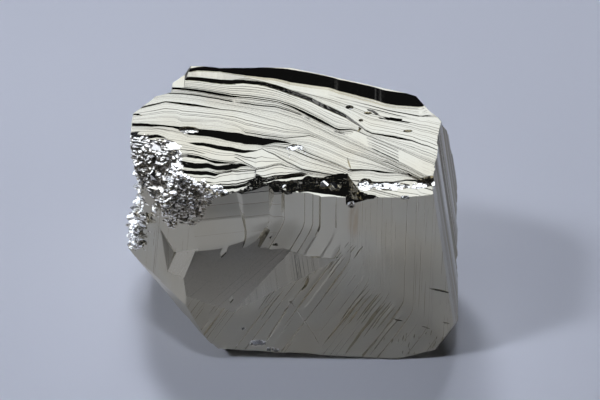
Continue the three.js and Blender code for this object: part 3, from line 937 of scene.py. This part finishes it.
def cut_rough_hollows(body):
    """The hollow in the upper left corner, where another crystal was, and the crumbled edges around it."""

    def crumbled(seed, **style):
        """A broken surface that is wide enough for each of the facets here."""
        return broken(seed, span=(-14, 14, -14, 14), **style)

    deep = crumbled(61, cell=0.45, tilt=12, lean=52, aside=9, tread=0.45)
    end = crumbled(62, cell=0.45, tilt=12, lean=32, tread=0.75)
    cut(body, facet(*HOLLOW, deep, ROUGH_PAINTED_BRIGHT), facet(*HOLLOW_END, end, ROUGH_PAINTED_BRIGHT))
    bevel = crumbled(63, cell=0.38, tilt=12, lean=51, tread=0.72)
    cut(body, facet(*BEVEL, bevel, ROUGH_PAINTED_BRIGHT))
    cut(
        body,
        facet(184, -12.7, (-27.8, -5, 31.8), crumbled(65, tilt=20, lean=10)),
        facet(178, 17, (-26, -5, 23.7), crumbled(66, tilt=20, lean=50, tread=0.5), ROUGH_PAINTED_BRIGHT),
    )
    strip = crumbled(67, cell=0.38, tilt=20, lean=50, tread=0.45)
    floor = broken(68, tilt=10, cell=1)
    cut(body, facet(*STRIP, strip, ROUGH_PAINTED_BRIGHT), facet(0, 90, (-25, -15, 16.4), floor, ROUGH_PAINTED_BRIGHT))
    for seed, place in enumerate(DRUSES, 90):
        combine(body, druse(seed, *place), "UNION")
    grow_nuggets(body, HOLLOW_NUGGETS, seed=20)


# Small bright crystals on the front, as (centre, radii).
FRONT_NUGGETS = [
    ((-7.0, -21.55, 3.6), (0.95, 0.5, 0.5)), ((-10.4, -21.3, 3.0), (0.6, 0.5, 0.4)),
    ((-4.9, -21.5, 2.3), (0.5, 0.5, 0.35)), ((-3.9, -21.5, 2.0), (0.35, 0.5, 0.3)),
    ((-9.3, -21.5, 6.7), (0.25, 0.5, 0.25)), ((-5.0, -18.75, 30.2), (0.5, 0.3, 0.45)),
    ((-4.0, -19.5, 22.2), (0.6, 0.25, 0.2)), ((-2.6, -19.95, 21.6), (0.25, 0.2, 0.2)),
    ((8.1, -21.5, 31.9), (0.4, 0.5, 0.45)), ((-1.5, -21.5, 12.2), (0.2, 0.5, 0.2)),
    ((24.6, -19.6, 27.2), (0.2, 0.3, 0.9)), ((16.6, -21.5, 33.2), (0.5, 0.5, 0.3)),
]


def grow_front_nuggets(body):
    """Sets the small crystals on the front. Those on its outermost face grow in shallow pits."""
    pits = [
        slab(-90, 0, (x, FRONT, z), oval(1.5 * wide, 1.5 * high), 0.4, ROUGH_PAINTED_BRIGHT)
        for (x, y, z), (wide, _, high) in FRONT_NUGGETS
        if y < FRONT + 0.4
    ]
    cut(body, joined(pits))
    grow_nuggets(body, FRONT_NUGGETS, seed=40)
    cut(body, facet(-90, 0, (0, FRONT + 0.005, 0)))


def drop_loose_bits(body):
    """Keeps the crystal itself, and not the crumbs that the rough cutters leave beside it."""
    shell = bmesh.new()
    shell.from_mesh(body.data)
    unseen, pieces = set(shell.verts), []
    while unseen:
        piece, edge = set(), [unseen.pop()]
        while edge:
            vertex = edge.pop()
            piece.add(vertex)
            near = {link.other_vert(vertex) for link in vertex.link_edges} & unseen
            unseen -= near
            edge.extend(near)
        pieces.append(piece)
    pieces.sort(key=len)
    loose = [vertex for piece in pieces[:-1] for vertex in piece]
    bmesh.ops.delete(shell, geom=loose, context="VERTS")
    shell.to_mesh(body.data)
    shell.free()


def make_crystal():
    """The whole crystal, which stands for the CAD solid."""
    faces = growth_faces("pyrite_crystal")
    body = uncut_crystal(faces)
    finish_growth_faces(body, faces)
    cut(body, front_cutter())
    cut(body, top_cutter())
    cut_rim_steps(body)
    cut_top_details(body)
    cut_recess(body)
    cut(body, joined(front_scores()))
    cut_front_groove(body)
    cut_left_flare(body)
    cut_rough_hollows(body)
    grow_front_nuggets(body)
    drop_loose_bits(body)
    body.data.transform(Matrix.Translation(Vector(LAYOUT)))
    body.data.transform(Matrix.Scale(MM, 4))
    for polygon in body.data.polygons:
        polygon.use_smooth = False
    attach(body, "root")
    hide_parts("pyrite_crystal")


# --- materials ------------------------------------------------------------------------------------


def math_node(tree, operation, *inputs):
    """A sum, product or other function of numbers and of other nodes' outputs."""
    node = tree.nodes.new("ShaderNodeMath")
    node.operation = operation
    for socket, value in zip(node.inputs, inputs):
        if isinstance(value, (int, float)):
            socket.default_value = value
        else:
            tree.links.new(value, socket)
    return node.outputs[0]


def product(tree, value, *others):
    """The product of two values or more."""
    for other in others:
        value = math_node(tree, "MULTIPLY", value, other)
    return value


def total(tree, value, *others):
    """The sum of two values or more."""
    for other in others:
        value = math_node(tree, "ADD", value, other)
    return value


def ramp_node(tree, value, low, high, start=0.0, end=1.0):
    """`start` below `low`, `end` above `high`, and a smooth change between them."""
    node = tree.nodes.new("ShaderNodeMapRange")
    node.interpolation_type = "SMOOTHSTEP"
    tree.links.new(value, node.inputs["Value"])
    node.inputs["From Min"].default_value = low
    node.inputs["From Max"].default_value = high
    node.inputs["To Min"].default_value = start
    node.inputs["To Max"].default_value = end
    return node.outputs[0]


def noise_node(tree, sizes):
    """Cloudy noise, with the size of its clouds in millimetres along x, y and z."""
    place = tree.nodes.new("ShaderNodeTexCoord").outputs["Object"]
    stretch = tree.nodes.new("ShaderNodeMapping")
    stretch.inputs["Scale"].default_value = [1 / (size * MM) for size in sizes]
    tree.links.new(place, stretch.inputs["Vector"])
    noise = tree.nodes.new("ShaderNodeTexNoise")
    noise.inputs["Scale"].default_value = 1
    noise.inputs["Detail"].default_value = 2
    tree.links.new(stretch.outputs[0], noise.inputs["Vector"])
    return noise.outputs["Fac"]


def mix_node(tree, share, one, other):
    """A colour between `one` and `other`. `one` is a colour, or another node's output."""
    node = tree.nodes.new("ShaderNodeMix")
    node.data_type = "RGBA"
    tree.links.new(share, node.inputs["Factor"])
    if isinstance(one, tuple):
        node.inputs["A"].default_value = (*one, 1)
    else:
        tree.links.new(one, node.inputs["A"])
    node.inputs["B"].default_value = (*other, 1)
    return node.outputs["Result"]


def near_node(tree, centre, radii):
    """1 at a point of the crystal, and fading to 0 at the given distances from it."""
    place = tree.nodes.new("ShaderNodeTexCoord").outputs["Object"]
    shift = tree.nodes.new("ShaderNodeMapping")
    shift.vector_type = "TEXTURE"
    shift.inputs["Location"].default_value = (LAYOUT + np.array(centre)) * MM
    shift.inputs["Scale"].default_value = np.array(radii) * MM
    tree.links.new(place, shift.inputs["Vector"])
    length = tree.nodes.new("ShaderNodeVectorMath")
    length.operation = "LENGTH"
    tree.links.new(shift.outputs[0], length.inputs[0])
    return ramp_node(tree, length.outputs["Value"], 0.2, 1, 1, 0)


def stained(tree, colour):
    """The colour of pyrite, with faint clouds of tarnish and a rusty stain under the front edge."""
    warmer = tuple(np.array(colour) * (0.98, 0.95, 0.9))
    clouds = ramp_node(tree, noise_node(tree, (11, 11, 11)), 0.35, 0.7)
    stain = near_node(tree, (8.6, FRONT, 28.6), (1.4, 3, 5))
    runs = ramp_node(tree, noise_node(tree, (0.5, 0.5, 4)), 0.3, 0.6, 0.05, 0.35)
    rust = (0.30, 0.17, 0.06)
    return mix_node(tree, product(tree, stain, runs), mix_node(tree, clouds, colour, warmer), rust)


def fine_striations(tree, strength):
    """Bump for the upright striations that are too fine to model, on the faces that stand upright."""
    split = tree.nodes.new("ShaderNodeSeparateXYZ")
    tree.links.new(tree.nodes.new("ShaderNodeNewGeometry").outputs["Normal"], split.inputs[0])
    upright = ramp_node(tree, math_node(tree, "ABSOLUTE", split.outputs["Z"]), 0.5, 0.8, 1, 0)
    bump = tree.nodes.new("ShaderNodeBump")
    bump.inputs["Strength"].default_value = strength
    bump.inputs["Distance"].default_value = 0.04 * MM
    lines = product(tree, noise_node(tree, (0.4, 0.4, 14)), upright)
    tree.links.new(lines, bump.inputs["Height"])
    return bump.outputs[0]


def pyrite(name, colour, roughness, streaks):
    """Bare pyrite. `streaks` says how strongly its fine striations show."""
    material = bpy.data.materials.new(name)
    material.use_nodes = True
    tree = material.node_tree
    shader = tree.nodes["Principled BSDF"]
    shader.inputs["Metallic"].default_value = 1
    grain = noise_node(tree, (0.33, 0.33, 0.33))
    speckle = ramp_node(tree, grain, 0.35, 0.7, 0.75 * roughness, 1.6 * roughness)
    tree.links.new(stained(tree, colour), shader.inputs["Base Color"])
    tree.links.new(speckle, shader.inputs["Roughness"])
    tree.links.new(fine_striations(tree, streaks), shader.inputs["Normal"])
    return material


# --- the camera, the floor and the light ----------------------------------------------------------

CAMERA_RISE = 36  # how far above the horizontal the camera stands, in degrees
CAMERA_REACH = 400  # how far it stands from the crystal
CAMERA_LENS = 141.6  # its focal length, for a sensor 36 mm wide


def make_camera():
    """The camera looks along +Y and down on the middle of the crystal."""
    data = bpy.data.cameras.new("camera")
    camera = bpy.data.objects.new("camera", data)
    bpy.context.scene.collection.objects.link(camera)
    data.lens = CAMERA_LENS
    data.sensor_width = 36
    data.clip_start = 0.01
    data.clip_end = 20
    rise = math.radians(CAMERA_RISE)
    target = Vector((LAYOUT + np.array([0, 0, 17.0])) * MM)
    camera.location = target + CAMERA_REACH * MM * Vector((0, -math.cos(rise), math.sin(rise)))
    camera.rotation_euler = (math.pi / 2 - rise, 0, 0)
    bpy.context.scene.camera = camera


# Pale cards beside the crystal that only its mirror-bright faces see: the way to each one's middle, its
# size and the width of its soft edge in degrees, and how bright it is.
CARDS = {
    "left": ((-1, -0.08, 0.08), 15, 12, 0.37),
    "front left": ((-0.72, -0.44, 0.54), 9, 5, 0.34),
}


def card_node(tree, place, direction, size, edge, glow):
    """How brightly a soft round card glows in each direction."""
    way = tree.nodes.new("ShaderNodeVectorMath")
    way.operation = "DOT_PRODUCT"
    tree.links.new(place, way.inputs[0])
    way.inputs[1].default_value = Vector(direction).normalized()
    return ramp_node(tree, way.outputs["Value"], sine(90 - size - edge), sine(90 - size), 0, glow)


def make_world():
    """A dark studio with one wide soft window of light at the back, dim walls and two pale cards."""
    world = bpy.data.worlds.new("studio")
    bpy.context.scene.world = world
    world.use_nodes = True
    tree = world.node_tree
    background = tree.nodes["Background"]
    place = tree.nodes.new("ShaderNodeTexCoord").outputs["Generated"]
    split = tree.nodes.new("ShaderNodeSeparateXYZ")
    tree.links.new(place, split.inputs[0])
    x, y, z = split.outputs
    flat = math_node(tree, "SQRT", total(tree, product(tree, x, x), product(tree, y, y)))
    back = math_node(tree, "DIVIDE", y, math_node(tree, "MAXIMUM", flat, 0.001))
    low_edge = ramp_node(tree, z, sine(9), sine(15))
    high_edge = ramp_node(tree, z, sine(56), sine(66), 1, 0)
    window = product(tree, low_edge, high_edge, ramp_node(tree, back, 0.25, 0.6))
    window_glow = product(tree, window, ramp_node(tree, z, sine(12), sine(50), 1.38, 2.13))
    wall_height = ramp_node(tree, z, sine(6), sine(40), 1, 0)
    walls = product(tree, wall_height, ramp_node(tree, back, -0.9, 0.3, 0.08, 0.3))
    cards = [card_node(tree, place, *card) for card in CARDS.values()]
    strength = total(tree, window_glow, walls, 0.012, *cards)
    tint = mix_node(tree, window, (0.75, 0.81, 1.0), (0.80, 0.87, 1.0))
    tree.links.new(tint, background.inputs["Color"])
    tree.links.new(strength, background.inputs["Strength"])
    world.cycles_visibility.diffuse = False  # the lamps alone light the cloth


# The lamps, as (place, what it points at, its radius, how wide it spreads in degrees, watts), in metres.
# They light the cloth.
LIGHTS = {
    "back left": ((-0.2, 0.75, 0.8), (-0.02, 0.07, 0), 0.2, 14, 48),
    "back right": ((0.15, 0.8, 0.75), (-0.01, 0.07, 0), 0.2, 12, 9),
    "far end": ((0, 0.6, 1), (0, 0.16, 0), 0.2, 14, 30),
    "left": ((-0.7, -0.25, 0.8), (-0.03, 0.02, 0), 0.2, 10.5, 68),
    "left edge": ((-0.3, 0, 1), (-0.08, 0.04, 0), 0.1, 10, 8),
    "foot": ((0, -0.25, 1), (0, -0.045, 0), 0.05, 5, 10),
}


def soft_light(name, place, target, radius, spread, watts):
    """A soft round lamp that makes a pool of light on the floor. The crystal doesn't mirror it."""
    data = bpy.data.lights.new(name, "SPOT")
    data.shadow_soft_size = radius
    data.spot_size = math.radians(spread)
    data.spot_blend = 0.6
    data.energy = watts
    data.color = (0.80, 0.85, 1.0)
    light = bpy.data.objects.new(name, data)
    bpy.context.scene.collection.objects.link(light)
    light.location = place
    light.rotation_euler = (Vector(target) - Vector(place)).to_track_quat("-Z", "Y").to_euler()
    light.visible_glossy = False
    light.visible_camera = False


def make_floor():
    """A plain pale cloth, 8 m across."""
    floor = new_object("floor", [(-4, -4, 0), (4, -4, 0), (4, 4, 0), (-4, 4, 0)], [(0, 1, 2, 3)])
    material = bpy.data.materials.new("pale cloth")
    material.use_nodes = True
    shader = material.node_tree.nodes["Principled BSDF"]
    shader.inputs["Base Color"].default_value = (0.76, 0.77, 0.80, 1)
    shader.inputs["Roughness"].default_value = 1
    shader.inputs["Specular IOR Level"].default_value = 0.1
    floor.data.materials.append(material)


MATERIALS = [  # in the order of SMOOTH, ROUGH_PAINTED_BRIGHT and PAINTED_SHADE; the colours of the last two are a painted brightness and a painted shade
    pyrite("pyrite", (0.52, 0.487, 0.395), 0.08, 0.25),
    # the broken finish is painted much paler than bare pyrite: a painted brightness that stands in for the
    # light its crumbs would catch
    pyrite("pyrite broken, painted bright", (0.96, 0.94, 0.89), 0.17, 0),
    # a darker copy of bare pyrite: painted shade for the faces that face right and for the dark facet of the
    # recess
    pyrite("pyrite painted shade", (0.375, 0.35, 0.29), 0.14, 0.7),
]
make_camera()
make_world()
make_floor()
for name, light in LIGHTS.items():
    soft_light(name, *light)
make_crystal()

bpy.context.scene.view_settings.view_transform = "Standard"
